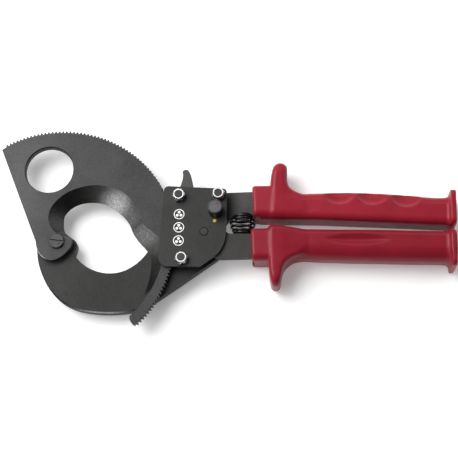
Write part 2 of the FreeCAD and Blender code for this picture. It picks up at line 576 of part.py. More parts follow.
# shallow round relief in both collars, where the handle spring bulges
upper = upper.cut(Part.makeCylinder(8.3, 12.0, V(SPRING_X, 6.0, 0), V(0, 1, 0)))
lower = lower.cut(Part.makeCylinder(7.2, 12.0, V(SPRING_X, -3.0, 0), V(0, 1, 0)))

upper = upper.cut(frame)
lower = lower.cut(lever)
for name, g in (("upper_grip", upper), ("lower_grip", lower)):
    sols = sorted(g.Solids, key=lambda s: -s.Volume)
    print(name, g.isValid(), round(g.Volume), [round(s.Volume) for s in sols])
    save(name, sols[0])

allb = [blade, frame, cover, screw, upper, lower, lever]
bb = allb[0].BoundBox
for s in allb[1:]:
    bb.add(s.BoundBox)
print("box", bb, "shift", round(-(bb.XMin + bb.XMax) / 2, 3), round(-(bb.YMin + bb.YMax) / 2, 3))
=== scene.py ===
import bpy, math, json
import numpy as np
from mathutils import Vector, Matrix


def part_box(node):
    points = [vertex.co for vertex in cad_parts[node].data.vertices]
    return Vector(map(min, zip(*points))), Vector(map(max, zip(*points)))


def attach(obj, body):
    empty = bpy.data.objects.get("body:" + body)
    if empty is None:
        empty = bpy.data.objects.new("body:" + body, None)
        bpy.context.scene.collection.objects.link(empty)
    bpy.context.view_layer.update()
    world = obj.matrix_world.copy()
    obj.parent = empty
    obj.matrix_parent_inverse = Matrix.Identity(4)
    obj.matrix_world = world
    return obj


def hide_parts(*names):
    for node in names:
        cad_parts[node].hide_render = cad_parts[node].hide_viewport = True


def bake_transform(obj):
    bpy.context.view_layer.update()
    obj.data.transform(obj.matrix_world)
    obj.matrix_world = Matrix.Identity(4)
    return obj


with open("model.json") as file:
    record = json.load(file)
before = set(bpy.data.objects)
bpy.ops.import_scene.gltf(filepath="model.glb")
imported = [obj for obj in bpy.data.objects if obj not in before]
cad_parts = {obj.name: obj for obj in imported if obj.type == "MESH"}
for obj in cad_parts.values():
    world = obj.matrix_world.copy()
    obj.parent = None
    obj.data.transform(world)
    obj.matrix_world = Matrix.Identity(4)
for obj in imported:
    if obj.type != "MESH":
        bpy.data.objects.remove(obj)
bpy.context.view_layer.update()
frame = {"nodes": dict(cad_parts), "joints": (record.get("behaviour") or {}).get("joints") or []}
N = frame["nodes"]
JOINT = {j["name"]: j for j in frame["joints"]}

# drawing frame in millimetres: blade pivot axis at x=0 y=0, shear plane at z=0
bp = JOINT["blade_pivot"]["pos_m"]
ORG = Vector((bp[0], bp[1], bp[2] - 0.0025))


def W(x, y, z):
    return Vector((ORG.x + x / 1000, ORG.y + y / 1000, ORG.z + z / 1000))


ORG_MM = np.array([ORG.x, ORG.y, ORG.z]) * 1000


# ------------------------------------------------------------------ materials
def mat(name):
    m = bpy.data.materials.new(name)
    m.use_nodes = True
    nt = m.node_tree
    b = nt.nodes["Principled BSDF"]
    return m, nt, b


def coords(nt, scale=(1, 1, 1), rot=(0, 0, 0)):
    tc = nt.nodes.new("ShaderNodeTexCoord")
    mp = nt.nodes.new("ShaderNodeMapping")
    mp.inputs["Scale"].default_value = scale
    mp.inputs["Rotation"].default_value = rot
    nt.links.new(tc.outputs["Object"], mp.inputs["Vector"])
    return mp.outputs["Vector"]


def noise(nt, vec, scale, detail=4.0, rough=0.55, dist=0.0):
    n = nt.nodes.new("ShaderNodeTexNoise")
    n.inputs["Scale"].default_value = scale
    n.inputs["Detail"].default_value = detail
    n.inputs["Roughness"].default_value = rough
    n.inputs["Distortion"].default_value = dist
    nt.links.new(vec, n.inputs["Vector"])
    return n.outputs["Fac"]


def ramp(nt, fac, stops):
    r = nt.nodes.new("ShaderNodeValToRGB")
    e = r.color_ramp.elements
    while len(e) < len(stops):
        e.new(0.5)
    for el, (p, c) in zip(e, stops):
        el.position = p
        el.color = (c[0], c[1], c[2], 1) if not isinstance(c, float) else (c, c, c, 1)
    nt.links.new(fac, r.inputs["Fac"])
    return r.outputs["Color"]


def mix(nt, a, b, fac, mode="MIX"):
    m = nt.nodes.new("ShaderNodeMix")
    m.data_type = "RGBA"
    m.blend_type = mode
    if isinstance(fac, float):
        m.inputs["Factor"].default_value = fac
    else:
        nt.links.new(fac, m.inputs["Factor"])
    for s, v in (("A", a), ("B", b)):
        if isinstance(v, tuple):
            m.inputs[s].default_value = v
        else:
            nt.links.new(v, [i for i in m.inputs if i.name == s and i.type == "RGBA"][0])
    return [o for o in m.outputs if o.type == "RGBA"][0]


def mixc(nt, a, b, fac, mode="MIX"):
    """colour mix where a and b are sockets or rgb tuples"""
    m = nt.nodes.new("ShaderNodeMix")
    m.data_type = "RGBA"
    m.blend_type = mode
    ins = [i for i in m.inputs if i.type == "RGBA"]
    if isinstance(fac, (float, int)):
        m.inputs[0].default_value = float(fac)
    else:
        nt.links.new(fac, m.inputs[0])
    for s, v in zip(ins, (a, b)):
        if isinstance(v, tuple):
            s.default_value = (v[0], v[1], v[2], 1)
        else:
            nt.links.new(v, s)
    return [o for o in m.outputs if o.type == "RGBA"][0]


def bump(nt, b, height, strength, dist):
    n = nt.nodes.new("ShaderNodeBump")
    n.inputs["Strength"].default_value = strength
    n.inputs["Distance"].default_value = dist
    nt.links.new(height, n.inputs["Height"])
    nt.links.new(n.outputs["Normal"], b.inputs["Normal"])
    return n


def math_node(nt, op, a, b=None):
    n = nt.nodes.new("ShaderNodeMath")
    n.operation = op
    for s, v in zip(n.inputs, (a, b)):
        if v is None:
            continue
        if isinstance(v, (int, float)):
            s.default_value = v
        else:
            nt.links.new(v, s)
    return n.outputs[0]


def speckle(nt, v, scale, lo, hi):
    return ramp(nt, noise(nt, v, scale, 2.0, 0.5), [(lo, 0.0), (hi, 1.0)])


def near(nt, p, r0, r1):
    """1 within r0 of the object-space point p, falling to 0 at r1 (metres)"""
    tc = nt.nodes.new("ShaderNodeTexCoord")
    d = nt.nodes.new("ShaderNodeVectorMath")
    d.operation = "DISTANCE"
    nt.links.new(tc.outputs["Object"], d.inputs[0])
    d.inputs[1].default_value = p
    mr = nt.nodes.new("ShaderNodeMapRange")
    mr.interpolation_type = "SMOOTHSTEP"
    nt.links.new(d.outputs["Value"], mr.inputs["Value"])
    mr.inputs["From Min"].default_value = r0
    mr.inputs["From Max"].default_value = r1
    mr.inputs["To Min"].default_value = 1.0
    mr.inputs["To Max"].default_value = 0.0
    return mr.outputs["Result"]


def along_x(nt, x0, x1):
    """0 before x0 to 1 after x1 along the object's own X (metres)"""
    tc = nt.nodes.new("ShaderNodeTexCoord")
    sx = nt.nodes.new("ShaderNodeSeparateXYZ")
    nt.links.new(tc.outputs["Object"], sx.inputs[0])
    mr = nt.nodes.new("ShaderNodeMapRange")
    mr.interpolation_type = "SMOOTHSTEP"
    nt.links.new(sx.outputs["X"], mr.inputs["Value"])
    mr.inputs["From Min"].default_value = x0
    mr.inputs["From Max"].default_value = x1
    return mr.outputs["Result"]


def local(node, x, y, z):
    return tuple(N[node].matrix_world.inverted() @ W(x, y, z))


def steel(name, base, warm=0.0, rough=(0.44, 0.56), metal=0.15, speck=0.3, grain=0.25, spec=0.15, ground=False,
          painted_light_ramp=None, painted_highlights=()):
    """black oxide plate: mottled tone, fine light speckle, faint satin grain; with
    ground=True the bevels (faces that lean away from the plate's own plane) are bare ground steel, with painted
    highlights (bright, more metallic spots of painted reflection) near the listed points; the (x0, x1, gain) ramp
    paints shade (gain below 1) or light (gain above 1) along the plate"""
    m, nt, b = mat(name)
    v = coords(nt)
    cloud = noise(nt, v, 38, 4.0, 0.62)
    c0 = (base * (0.78 + warm * 0.5), base * 0.78, base * (0.78 - warm * 0.5))
    c1 = (base * (1.16 + warm), base * 1.16, base * (1.16 - warm))
    col = ramp(nt, cloud, [(0.33, c0), (0.68, c1)])
    col = mixc(nt, col, (base * 2.4, base * 2.36, base * 2.3),
               math_node(nt, "MULTIPLY", speckle(nt, v, 2400, 0.52, 0.76), speck))
    # small dull stains
    stain = ramp(nt, noise(nt, v, 160, 3.0, 0.65), [(0.60, 0.0), (0.72, 1.0)])
    col = mixc(nt, col, (base * 0.62, base * 0.58, base * 0.52), math_node(nt, "MULTIPLY", stain, 0.35))
    # painted light along the plate's own X: gain below 1 paints shade, gain above 1 paints light; the colour times
    # gain before x0 eases back to the plain colour after x1
    if painted_light_ramp:
        col = mixc(nt, mixc(nt, col, (painted_light_ramp[2], painted_light_ramp[2], painted_light_ramp[2]), 1.0, "MULTIPLY"), col, along_x(nt, painted_light_ramp[0], painted_light_ramp[1]))
    r = ramp(nt, noise(nt, v, 800, 3.0, 0.6), [(0.3, rough[0]), (0.7, rough[1])])
    h = noise(nt, v, 1500, 3.0, 0.6)
    b.inputs["Metallic"].default_value = metal
    if ground:
        tc = nt.nodes.new("ShaderNodeTexCoord")
        sx = nt.nodes.new("ShaderNodeSeparateXYZ")
        nt.links.new(tc.outputs["Normal"], sx.inputs[0])
        az = math_node(nt, "ABSOLUTE", sx.outputs["Z"])
        lean = ramp(nt, az, [(0.52, 0.0), (0.60, 1.0), (0.955, 1.0), (0.985, 0.0)])
        gcol = ramp(nt, noise(nt, v, 110, 4.0, 0.65), [(0.32, (0.024, 0.024, 0.023)), (0.70, (0.046, 0.046, 0.045))])
        met = (0.96, 0.96, 0.96)
        # painted highlights: around each point the bevel colour is raised to the given gain and the metallic level
        # set, a painted reflection spot
        for p, r0, r1, gain, mt in painted_highlights:
            hi = ramp(nt, noise(nt, v, 900, 3.0, 0.6), [(0.35, (gain * 0.6,) * 3), (0.70, (gain * 1.25,) * 3)])
            k = near(nt, p, r0, r1)
            gcol = mixc(nt, gcol, hi, k)
            met = mixc(nt, met, (mt, mt, mt), k)
        col = mixc(nt, col, gcol, lean)
        gr = ramp(nt, noise(nt, v, 1100, 3.0, 0.6), [(0.3, 0.30), (0.7, 0.42)])
        r = mixc(nt, r, gr, lean)
        nt.links.new(mixc(nt, (metal, metal, metal), met, lean), b.inputs["Metallic"])
    nt.links.new(col, b.inputs["Base Color"])
    nt.links.new(r, b.inputs["Roughness"])
    b.inputs["Specular IOR Level"].default_value = spec
    bump(nt, b, h, grain, 0.00004)
    return m


# painted shade: the plate is darkened (gain 0.44) up to x=104.5, easing to its plain colour by x=114, which paints the
# cover's shadow beside its right edge; a painted highlight on the jaw's rim chamfer near (29, -43.4)
M_PLATE = steel("plate_black_oxide", 0.056, 0.03, speck=0.5, ground=True,
                painted_light_ramp=(local("frame_plate", 104.5, 0, 0)[0], local("frame_plate", 114, 0, 0)[0], 0.44),
                painted_highlights=((local("frame_plate", 29.0, -43.4, -1), 0.004, 0.024, 0.36, 0.1),))
# painted light: the blade is lightened (gain 1.55) left of x=-24, easing to its plain colour by x=2; painted
# highlights on the ground bevels of the throat and near the eye
M_BLADE = steel("blade_black_oxide", 0.041, 0.0, speck=0.5, ground=True,
                painted_light_ramp=(local("moving_blade", -24, 0, 0)[0], local("moving_blade", 2, 0, 0)[0], 1.55),
                painted_highlights=((local("moving_blade", 34.8, 23.6, 3), 0.001, 0.014, 0.25, 0.96),
                        (local("moving_blade", 46.0, 12.0, 3), 0.002, 0.014, 0.085, 0.96),
                        (local("moving_blade", 54.0, 5.0, 3), 0.002, 0.012, 0.115, 0.96),
                        (local("moving_blade", -0.5, 10.5, 3), 0.003, 0.016, 0.12, 0.96)))
M_COVER = steel("cover_black", 0.031, 0.03, rough=(0.42, 0.52), metal=0.1, speck=0.3)
M_LEVER = steel("lever_black_oxide", 0.037, 0.08, speck=0.5)
M_FIN = steel("pawl_black_oxide", 0.060, 0.03, speck=0.3)
M_FAST = steel("fastener_black", 0.040, 0.03, rough=(0.34, 0.46), metal=0.5, speck=0.3)
M_SPRING = steel("spring_black", 0.016, 0.0, rough=(0.15, 0.24), metal=0.6, speck=0.05, grain=0.05, spec=0.6)


def zinc_mat():
    m, nt, b = mat("zinc_bright")
    v = coords(nt)
    col = ramp(nt, noise(nt, v, 300, 3.0, 0.6), [(0.35, (0.42, 0.43, 0.44)), (0.7, (0.62, 0.62, 0.63))])
    nt.links.new(col, b.inputs["Base Color"])
    r = ramp(nt, noise(nt, v, 900, 2.0, 0.5), [(0.3, 0.16), (0.7, 0.3)])
    nt.links.new(r, b.inputs["Roughness"])
    b.inputs["Metallic"].default_value = 1.0
    bump(nt, b, noise(nt, v, 700, 3.0, 0.6), 0.12, 0.00005)
    return m


def plain(name, c, rough, var=0.12, scale=200, metal=0.0, coat=0.0, spec=0.5, bmp=0.1, ior=1.5):
    m, nt, b = mat(name)
    v = coords(nt)
    lo = tuple(k * (1 - var) for k in c)
    hi = tuple(min(1, k * (1 + var)) for k in c)
    nt.links.new(ramp(nt, noise(nt, v, scale, 4.0, 0.6), [(0.35, lo), (0.66, hi)]), b.inputs["Base Color"])
    r = ramp(nt, noise(nt, v, scale * 4, 3.0, 0.6), [(0.3, rough * 0.85), (0.7, min(1.0, rough * 1.15))])
    nt.links.new(r, b.inputs["Roughness"])
    b.inputs["Metallic"].default_value = metal
    b.inputs["Coat Weight"].default_value = coat
    b.inputs["IOR"].default_value = ior
    b.inputs["Specular IOR Level"].default_value = spec
    if bmp:
        bump(nt, b, noise(nt, v, scale * 6, 2.0, 0.5), bmp, 0.00003)
    return m


M_ZINC = zinc_mat()
M_NYLON = plain("nylon_white", (0.80, 0.80, 0.78), 0.45)
M_RED = plain("grip_red", (0.268, 0.012, 0.025), 0.33, var=0.06, scale=60, spec=0.5, bmp=0.0, ior=1.28)
# painted shade: a darker copy of the grip red, for the lower grip
M_RED_SHADED = plain("grip_red_painted_shade", (0.228, 0.010, 0.022), 0.33, var=0.06, scale=60, spec=0.5, bmp=0.0, ior=1.28)
M_BLACK = plain("knob_black", (0.006, 0.006, 0.0065), 0.38)
M_KNOB = plain("knob_face", (0.086, 0.084, 0.090), 0.5, metal=0.25, scale=400, spec=0.3)
M_RDOT = plain("paint_red", (0.10, 0.008, 0.018), 0.4, scale=500)
M_YDOT = plain("paint_yellow", (0.50, 0.38, 0.05), 0.4, scale=500)
M_WHITE = plain("print_white", (0.86, 0.86, 0.86), 0.5, scale=500, var=0.05)
# painted highlight: pale grey for the lit edge strip on the pivot eye
M_EDGE_GLINT = plain("painted_edge_highlight", (0.42, 0.42, 0.41), 0.4, metal=0.3)
RIV = 2.34
M_DARK = plain("stamped_dark", (0.004, 0.004, 0.004), 0.6, spec=0.1)

LOOK = {
    "frame_plate": M_PLATE, "cover_plate": M_COVER, "index_dot": M_YDOT, "pivot_screw": M_FAST,
    "pivot_washer": M_FAST, "pivot_nut": M_FAST, "housing_screws": M_FAST, "housing_nuts": M_ZINC,
    "nut_lock_rings": M_NYLON, "housing_bushes": M_FAST, "handle_pivot_pin": M_LEVER, "upper_grip": M_RED,
    "handle_spring": M_SPRING, "holding_pawl_spring": M_SPRING, "moving_blade": M_BLADE,
    "handle_lever": M_LEVER, "lower_grip": M_RED_SHADED, "drive_pawl_pin": M_FAST, "drive_pawl_spring": M_SPRING,
    "drive_pawl": M_FAST, "holding_pawl": M_FIN, "lock_shaft": M_KNOB, "lock_knob": M_BLACK,
    "lock_dot": M_RDOT, "lock_clip": M_FAST}
for n, o in N.items():
    o.data.materials.clear()
    o.data.materials.append(LOOK[n])


def soften(o, w, seg=2, ang=32):
    m = o.modifiers.new("edge", "BEVEL")
    m.width = w / 1000
    m.segments = seg
    m.limit_method = "ANGLE"
    m.angle_limit = math.radians(ang)
    m.use_clamp_overlap = True
    m.harden_normals = False


# -------------------------------------------------------------- surface from a distance field
def surface_net(f, lo, hi, h):
    lo, hi = np.array(lo, float), np.array(hi, float)
    n = np.ceil((hi - lo) / h).astype(int) + 1
    ax = [lo[i] + h * np.arange(n[i]) for i in range(3)]
    S = np.empty(n, np.float32)
    for i0 in range(0, n[0], 24):
        i1 = min(n[0], i0 + 24)
        g = np.stack(np.meshgrid(ax[0][i0:i1], ax[1], ax[2], indexing="ij"), -1).reshape(-1, 3)
        S[i0:i1] = f(g).reshape(i1 - i0, n[1], n[2])
    c = n - 1
    acc = np.zeros((*c, 3), np.float32)
    cnt = np.zeros(c, np.float32)
    off = [(a, b, d) for a in (0, 1) for b in (0, 1) for d in (0, 1)]
    for p in off:
        for k in range(3):
            if p[k]:
                continue
            q = list(p)
            q[k] = 1
            A = S[p[0]:p[0] + c[0], p[1]:p[1] + c[1], p[2]:p[2] + c[2]]
            B = S[q[0]:q[0] + c[0], q[1]:q[1] + c[1], q[2]:q[2] + c[2]]
            m = (A < 0) != (B < 0)
            t = np.where(m, A / np.where(m, A - B, 1), 0)
            for d in range(3):
                acc[..., d] += np.where(m, p[d] + (t if d == k else 0), 0)
            cnt += m
    has = cnt > 0
    idx = -np.ones(c, np.int64)
    idx[has] = np.arange(has.sum())
    cell = np.argwhere(has)
    V = lo + h * (cell + acc[has] / cnt[has][:, None])
    F = []
    for k in range(3):
        a, b = (k + 1) % 3, (k + 2) % 3
        sl0 = [slice(None)] * 3
        sl1 = [slice(None)] * 3
        sl0[k] = slice(0, -1)
        sl1[k] = slice(1, None)
        s0, s1 = S[tuple(sl0)] < 0, S[tuple(sl1)] < 0
        e = np.argwhere(s0 != s1)
        e = e[(e[:, a] > 0) & (e[:, b] > 0) & (e[:, a] < n[a] - 1) & (e[:, b] < n[b] - 1)]
        flip = ~s0[tuple(e.T)]
        quads = []
        for da, db in ((-1, -1), (0, -1), (0, 0), (-1, 0)):
            q = e.copy()
            q[:, a] += da
            q[:, b] += db
            quads.append(idx[tuple(q.T)])
        Q = np.stack(quads, 1)
        Q[flip] = Q[flip][:, ::-1]
        F.append(Q)
    F = np.concatenate(F)
    for _ in range(4):
        d = f(V)
        e = 0.05
        G = np.stack([(f(V + np.eye(3)[i] * e) - f(V - np.eye(3)[i] * e)) / (2 * e) for i in range(3)], 1)
        g2 = np.maximum((G ** 2).sum(1), 0.2)
        step = np.clip(d / g2, -0.3 * h, 0.3 * h)
        V = V - G * step[:, None]
    return V, F


def make_mesh(name, V, F, material, body, smooth=True):
    """V in drawing millimetres"""
    me = bpy.data.meshes.new(name)
    P = (np.asarray(V, float) + ORG_MM) / 1000
    me.from_pydata([tuple(p) for p in P], [], [tuple(int(i) for i in f) for f in F])
    me.update()
    if smooth:
        me.polygons.foreach_set("use_smooth", [True] * len(me.polygons))
    o = bpy.data.objects.new(name, me)
    bpy.context.scene.collection.objects.link(o)
    me.materials.append(material)
    if body:
        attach(o, body)
    return o


def smin(a, b, k):
    h = np.clip(0.5 + 0.5 * (b - a) / k, 0, 1)
    return b + (a - b) * h - k * h * (1 - h)


def smax(a, b, k):
    return -smin(-a, -b, k)


def rbox2(y, z, a, c, ro, ri, up, rf=None):
    """rounded box section, radius ro on the outer side (rf towards +z) and ri on the inner one"""
    r = np.where(y * up > 0, ro if rf is None else np.where(z > 0, rf, ro), ri)
    qy, qz = np.abs(y) - a + r, np.abs(z) - c + r
    return np.minimum(np.maximum(qy, qz), 0) + np.hypot(np.maximum(qy, 0), np.maximum(qz, 0)) - r


def between(d, x, x0, x1, r):
    """cuts the field d to x0..x1 with edges of radius r"""
    dx = np.maximum(x0 - x, x - x1)
    q0, q1 = d + r, dx + r
    return np.minimum(np.maximum(q0, q1), 0) + np.hypot(np.maximum(q0, 0), np.maximum(q1, 0)) - r


def poly_sdf(x, y, pts):
    P = np.array(pts, float)
    d = np.full(x.shape, 1e9)
    s = np.ones(x.shape)
    for i in range(len(P)):
        a, b = P[i], P[i - 1]
        e = b - a
        wx, wy = x - a[0], y - a[1]
        t = np.clip((wx * e[0] + wy * e[1]) / (e @ e), 0, 1)
        d = np.minimum(d, (wx - e[0] * t) ** 2 + (wy - e[1] * t) ** 2)
        c1, c2 = y >= a[1], y < b[1]
        c3 = e[0] * wy > e[1] * wx
        flip = (c1 & c2 & c3) | (~c1 & ~c2 & ~c3)
        s = np.where(flip, -s, s)
    return s * np.sqrt(d)


def spl(keys, n=14):
    """Catmull-Rom points through keys, closed"""
    K = np.array(keys, float)
    out = []
    for i in range(len(K)):
        p0, p1, p2, p3 = K[i - 1], K[i], K[(i + 1) % len(K)], K[(i + 2) % len(K)]
        for t in np.linspace(0, 1, n, endpoint=False):
            out.append(0.5 * ((2 * p1) + (-p0 + p2) * t + (2 * p0 - 5 * p1 + 4 * p2 - p3) * t * t +
                              (-p0 + 3 * p1 - 3 * p2 + p3) * t ** 3))
    return out


def lerp_keys(x, keys):
    k = np.array(keys, float)
    return np.interp(x, k[:, 0], k[:, 1])


UP_TOP = [(118, 29.4), (135, 29.0), (148.2, 28.9), (153, 28.7), (160.4, 28.85), (167.8, 29.05), (175, 29.1), (182.4, 28.95),
          (189.8, 28.65), (197, 28.15), (204.3, 27.6), (211.6, 27.0), (218.9, 26.3), (226, 25.4), (231, 24.95),
          (236, 24.9), (246, 25.2)]
UP_BOT = [(118, 12.6), (148, 11.85), (157, 11.6), (168, 11.05), (182, 10.25), (197, 9.45), (212, 8.6), (226, 7.75),
          (233, 7.35), (246, 6.7)]
LO_TOP = [(118, 5.9), (148, 5.55), (160, 5.2), (175, 4.8), (190, 4.5), (204, 4.1), (215, 3.6), (230, 3.2), (246, 2.8)]
LO_BOT = [(118, -12.0), (148.2, -12.25), (153, -12.45), (160.4, -13.0), (168, -13.35), (182, -13.95), (197, -14.4),
          (212, -14.95), (222, -15.2), (232, -15.4), (246, -15.9)]

UP_FIN = [(130.75, 14.0), (130.7, 24.0), (130.9, 33.5), (131.3, 38.0), (131.9, 41.4), (132.4, 43.8), (133.1, 46.2),
          (134.3, 48.4), (135.7, 49.5), (137.2, 49.9), (138.8, 49.5), (140.2, 48.6), (141.1, 47.2), (141.55, 45.4),
          (141.5, 42.0), (141.4, 38.6), (141.55, 35.6), (142.3, 33.2), (143.7, 31.4), (145.8, 29.9), (149.0, 27.6),
          (153.0, 22.0), (153.0, 15.0), (141.0, 13.6)]
LO_FIN = [(129.8, 7.6), (129.35, 0.0), (129.3, -10.0), (129.45, -17.4), (129.75, -21.2), (130.2, -24.4), (130.65, -27.2),
          (131.2, -29.2), (132.1, -30.6), (133.5, -31.2), (134.9, -30.8), (135.9, -29.3), (136.5, -27.0), (136.9, -24.6),
          (137.3, -22.0), (137.9, -19.6), (138.8, -17.4), (140.1, -15.6), (142.0, -14.0), (144.6, -12.4), (149.0, -10.4),
          (153.0, -6.0), (153.0, 0.0), (149.5, 4.3), (144.6, 6.2), (140.0, 7.6), (136.4, 8.4), (132.6, 8.5)]
SPX = 113.7


def grip_field(up):
    top, bot = (UP_TOP, UP_BOT) if up > 0 else (LO_TOP, LO_BOT)
    fin = spl(UP_FIN if up > 0 else LO_FIN, 5)

    def f(P):
        x, y, z = P[:, 0], P[:, 1], P[:, 2]
        yt, yb = lerp_keys(x, top), lerp_keys(x, bot)
        yc, a = (yt + yb) / 2, (yt - yb) / 2
        body = between(rbox2(y - yc, z, a, 9.6 + 0 * x, 6.4, 4.0, up, None if up > 0 else 8.7), x, 124.0, 241.5, 1.0)
        # collar, square to the handle
        if up > 0:
            xl = x + 0.035 * (y - 23.3)
            col = between(rbox2(y - 23.3, z, 9.95, 11.0, 4.2, 3.6, up), xl, 120.15, 134.0, 1.7)
        else:
            xl = x + 0.035 * (y + 4.4)
            col = between(rbox2(y + 4.43, z, 10.1, 11.0, 4.2, 3.6, up), xl, 119.05, 134.0, 1.7)
        # guard: proud of the collar, and thinning into the handle behind it
        d2 = poly_sdf(x, y, fin)
        cg = lerp_keys(x, [(128, 11.5), (133, 11.45), (138, 11.0), (143, 10.2), (148, 9.5), (154, 8.6)])
        if up > 0:
            side = rbox2(y - 25.0, z, 25.1, cg, 8.5, 4.5, up)
            rr = 3.6
        else:
            side = rbox2(y + 11.3, z, 19.9, cg, 7.5, 4.6, up)
            rr = 2.6
        q0, q1 = d2 + rr, side + rr
        g = np.minimum(np.maximum(q0, q1), 0) + np.hypot(np.maximum(q0, 0), np.maximum(q1, 0)) - rr
        # end flange
        if up > 0:
            xf = x + 0.03 * (17.75 - y)
            fl = between(rbox2(y - 17.75, z, 10.75, 11.65, 3.4, 3.0, up), xf, 239.75, 243.0, 0.7)
        else:
            xf = x + 0.012 * (-8.4 - y)
            fl = between(rbox2(y + 8.4, z, 10.9, 11.65, 3.4, 3.0, up), xf, 239.05, 241.8, 0.6)
        d = smin(body, g, 2.6)
        d = smin(d, fl, 3.4 if up > 0 else 4.2)
        d = smin(d, col, 0.7)
        d = smax(d, -(np.hypot(x - SPX, z) - (8.5 if up > 0 else 7.4)), 0.4)
        if up > 0:
            # finger scallops: scooped out of the rounded shoulders, front and back
            for xs in (172.7, 193.1, 213.5):
                yt0 = float(lerp_keys(np.array([xs]), top)[0])
                for s in (1, -1):
                    dy, dz = y - (yt0 + 2.35), z - 20.57 * s
                    e = np.sqrt(((x - xs) / 16.1) ** 2 + (dy / 16.0) ** 2 + (dz / 16.0) ** 2)
                    d = smax(d, -(e - 1) * 16.0, 0.45)
        else:
            # almond shaped thumb groove with pointed ends, front and back
            dx = (x - 183.3) / 21.5
            dy = (y + 2.15 + (x - 183.3) * 0.02) / 3.9
            dep = 2.5 * (1.0 - dx ** 2 - np.sqrt(dy ** 2 + 0.03))
            for s in (1, -1):
                d = smax(d, (z * s - (9.6 - dep)) / 1.25, 0.5)
        return d
    return f


H = 0.5
V, F = surface_net(grip_field(1), (118.2, 4.9, -13.0), (245.4, 51.5, 13.0), H)
g_up = make_mesh("upper_grip_moulded", V, F, M_RED, "frame")
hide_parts("upper_grip")
V, F = surface_net(grip_field(-1), (117.2, -32.9, -13.0), (244.6, 9.9, 13.0), H)
g_lo = make_mesh("lower_grip_moulded", V, F, M_RED_SHADED, "handle")
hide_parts("lower_grip")


# ---------------------------------------------------------------------- spring
def tube_mesh(path, r, sides=14):
    P = np.array(path, float)
    T = np.gradient(P, axis=0)
    T /= np.linalg.norm(T, axis=1)[:, None]
    nrm = np.cross(T[0], [0, 0, 1.0])
    if np.linalg.norm(nrm) < 1e-3:
        nrm = np.cross(T[0], [0, 1.0, 0])
    nrm /= np.linalg.norm(nrm)
    V, F = [], []
    for i in range(len(P)):
        nrm = nrm - T[i] * (nrm @ T[i])
        nrm /= np.linalg.norm(nrm)
        b = np.cross(T[i], nrm)
        for k in range(sides):
            a = 2 * math.pi * k / sides
            V.append(P[i] + r * (math.cos(a) * nrm + math.sin(a) * b))
    for i in range(len(P) - 1):
        for k in range(sides):
            k2 = (k + 1) % sides
            F.append((i * sides + k, i * sides + k2, (i + 1) * sides + k2, (i + 1) * sides + k))
    F.append(tuple(range(sides))[::-1])
    F.append(tuple((len(P) - 1) * sides + k for k in range(sides)))
    return V, F


sp_lo, sp_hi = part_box("handle_spring")
SX = SPX
SY0, SY1 = (sp_lo.y - ORG.y) * 1000, (sp_hi.y - ORG.y) * 1000
WR = 0.74
coils = 6.35
n = 420
path = []
for k in range(n):
    t = k / (n - 1)
    # nearly closed end coils, open middle ones
    e = t - 0.055 * math.sin(2 * math.pi * t)
    y = SY0 + WR + (SY1 - SY0 - 2 * WR) * e
    r = 5.15 + 2.2 * math.sin(math.pi * t ** 1.15) ** 2
    th = 2 * math.pi * coils * t + math.radians(-35)
    path.append((SX + r * math.cos(th), y, r * math.sin(th)))
V, F = tube_mesh(path, WR)
spring = make_mesh("handle_spring_wire", V, F, M_SPRING, None)
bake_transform(spring)
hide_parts("handle_spring")


# ------------------------------------------------------------- printed mark on the cover
def ring_faces(V, F, cx, cy, r0, r1, z, n=40):
    b = len(V)
    for k in range(n):
        a = 2 * math.pi * k / n
        V.append((cx + r0 * math.cos(a), cy + r0 * math.sin(a), z))
        V.append((cx + r1 * math.cos(a), cy + r1 * math.sin(a), z))
    for k in range(n):
        k2 = (k + 1) % n
        F.append((b + 2 * k, b + 2 * k + 1, b + 2 * k2 + 1, b + 2 * k2))


def disc_faces(V, F, cx, cy, r, z, n=24):
    b = len(V)
    for k in range(n):
        a = 2 * math.pi * k / n
        V.append((cx + r * math.cos(a), cy + r * math.sin(a), z))
    F.append(tuple(range(b, b + n)))


V, F = [], []
zc = 7.53
for cy in (15.6, 7.2, -1.2):
    cx = 75.0 + (cy - 7.2) * 0.012
    ring_faces(V, F, cx, cy, 2.75, 3.25, zc)
    for k in range(3):
        a = math.radians(90 + 120 * k)
        disc_faces(V, F, cx + 1.3 * math.cos(a), cy + 1.3 * math.sin(a), 0.85, zc)
mark = make_mesh("cover_mark", V, F, M_WHITE, "frame", smooth=False)

# stake mark on the screw head
V, F = [], []
disc_faces(V, F, 1.9, -2.0, 0.42, 6.87)
stake = make_mesh("stake_mark", V, F, M_DARK, "frame", smooth=False)

# locknuts: hexagon with a round collar, chamfered corners
V, F = [], []
NS = 48
for (cx, cy), turn in (((74.9, 27.2), 8.0), ((99.1, 27.7), 22.0), ((76.9, -12.9), 14.0)):
    def hexr(a, af):
        d = (math.degrees(a) - turn) % 60.0 - 30.0
        return af / 2 / math.cos(math.radians(d))
    levels = [(7.5, lambda a: min(hexr(a, 7.3), 3.95)), (7.75, lambda a: hexr(a, 7.3)),
              (10.3, lambda a: hexr(a, 7.3)), (10.75, lambda a: min(hexr(a, 7.3), 3.62)),
              (10.95, lambda a: 3.42), (11.9, lambda a: 3.4), (12.25, lambda a: 3.3), (12.42, lambda a: 3.16),
              (12.42, lambda a: 3.06), (11.2, lambda a: 3.06)]
    b0 = len(V)
    for z_, fr in levels:
        for k in range(NS):
            a = 2 * math.pi * k / NS + math.radians(turn)
            V.append((cx + fr(a) * math.cos(a), cy + fr(a) * math.sin(a), z_))
    for i in range(len(levels) - 1):
        for k in range(NS):
            k2 = (k + 1) % NS
            F.append((b0 + i * NS + k, b0 + i * NS + k2, b0 + (i + 1) * NS + k2, b0 + (i + 1) * NS + k))
nuts = make_mesh("housing_locknuts", V, F, M_ZINC, "frame", smooth=False)
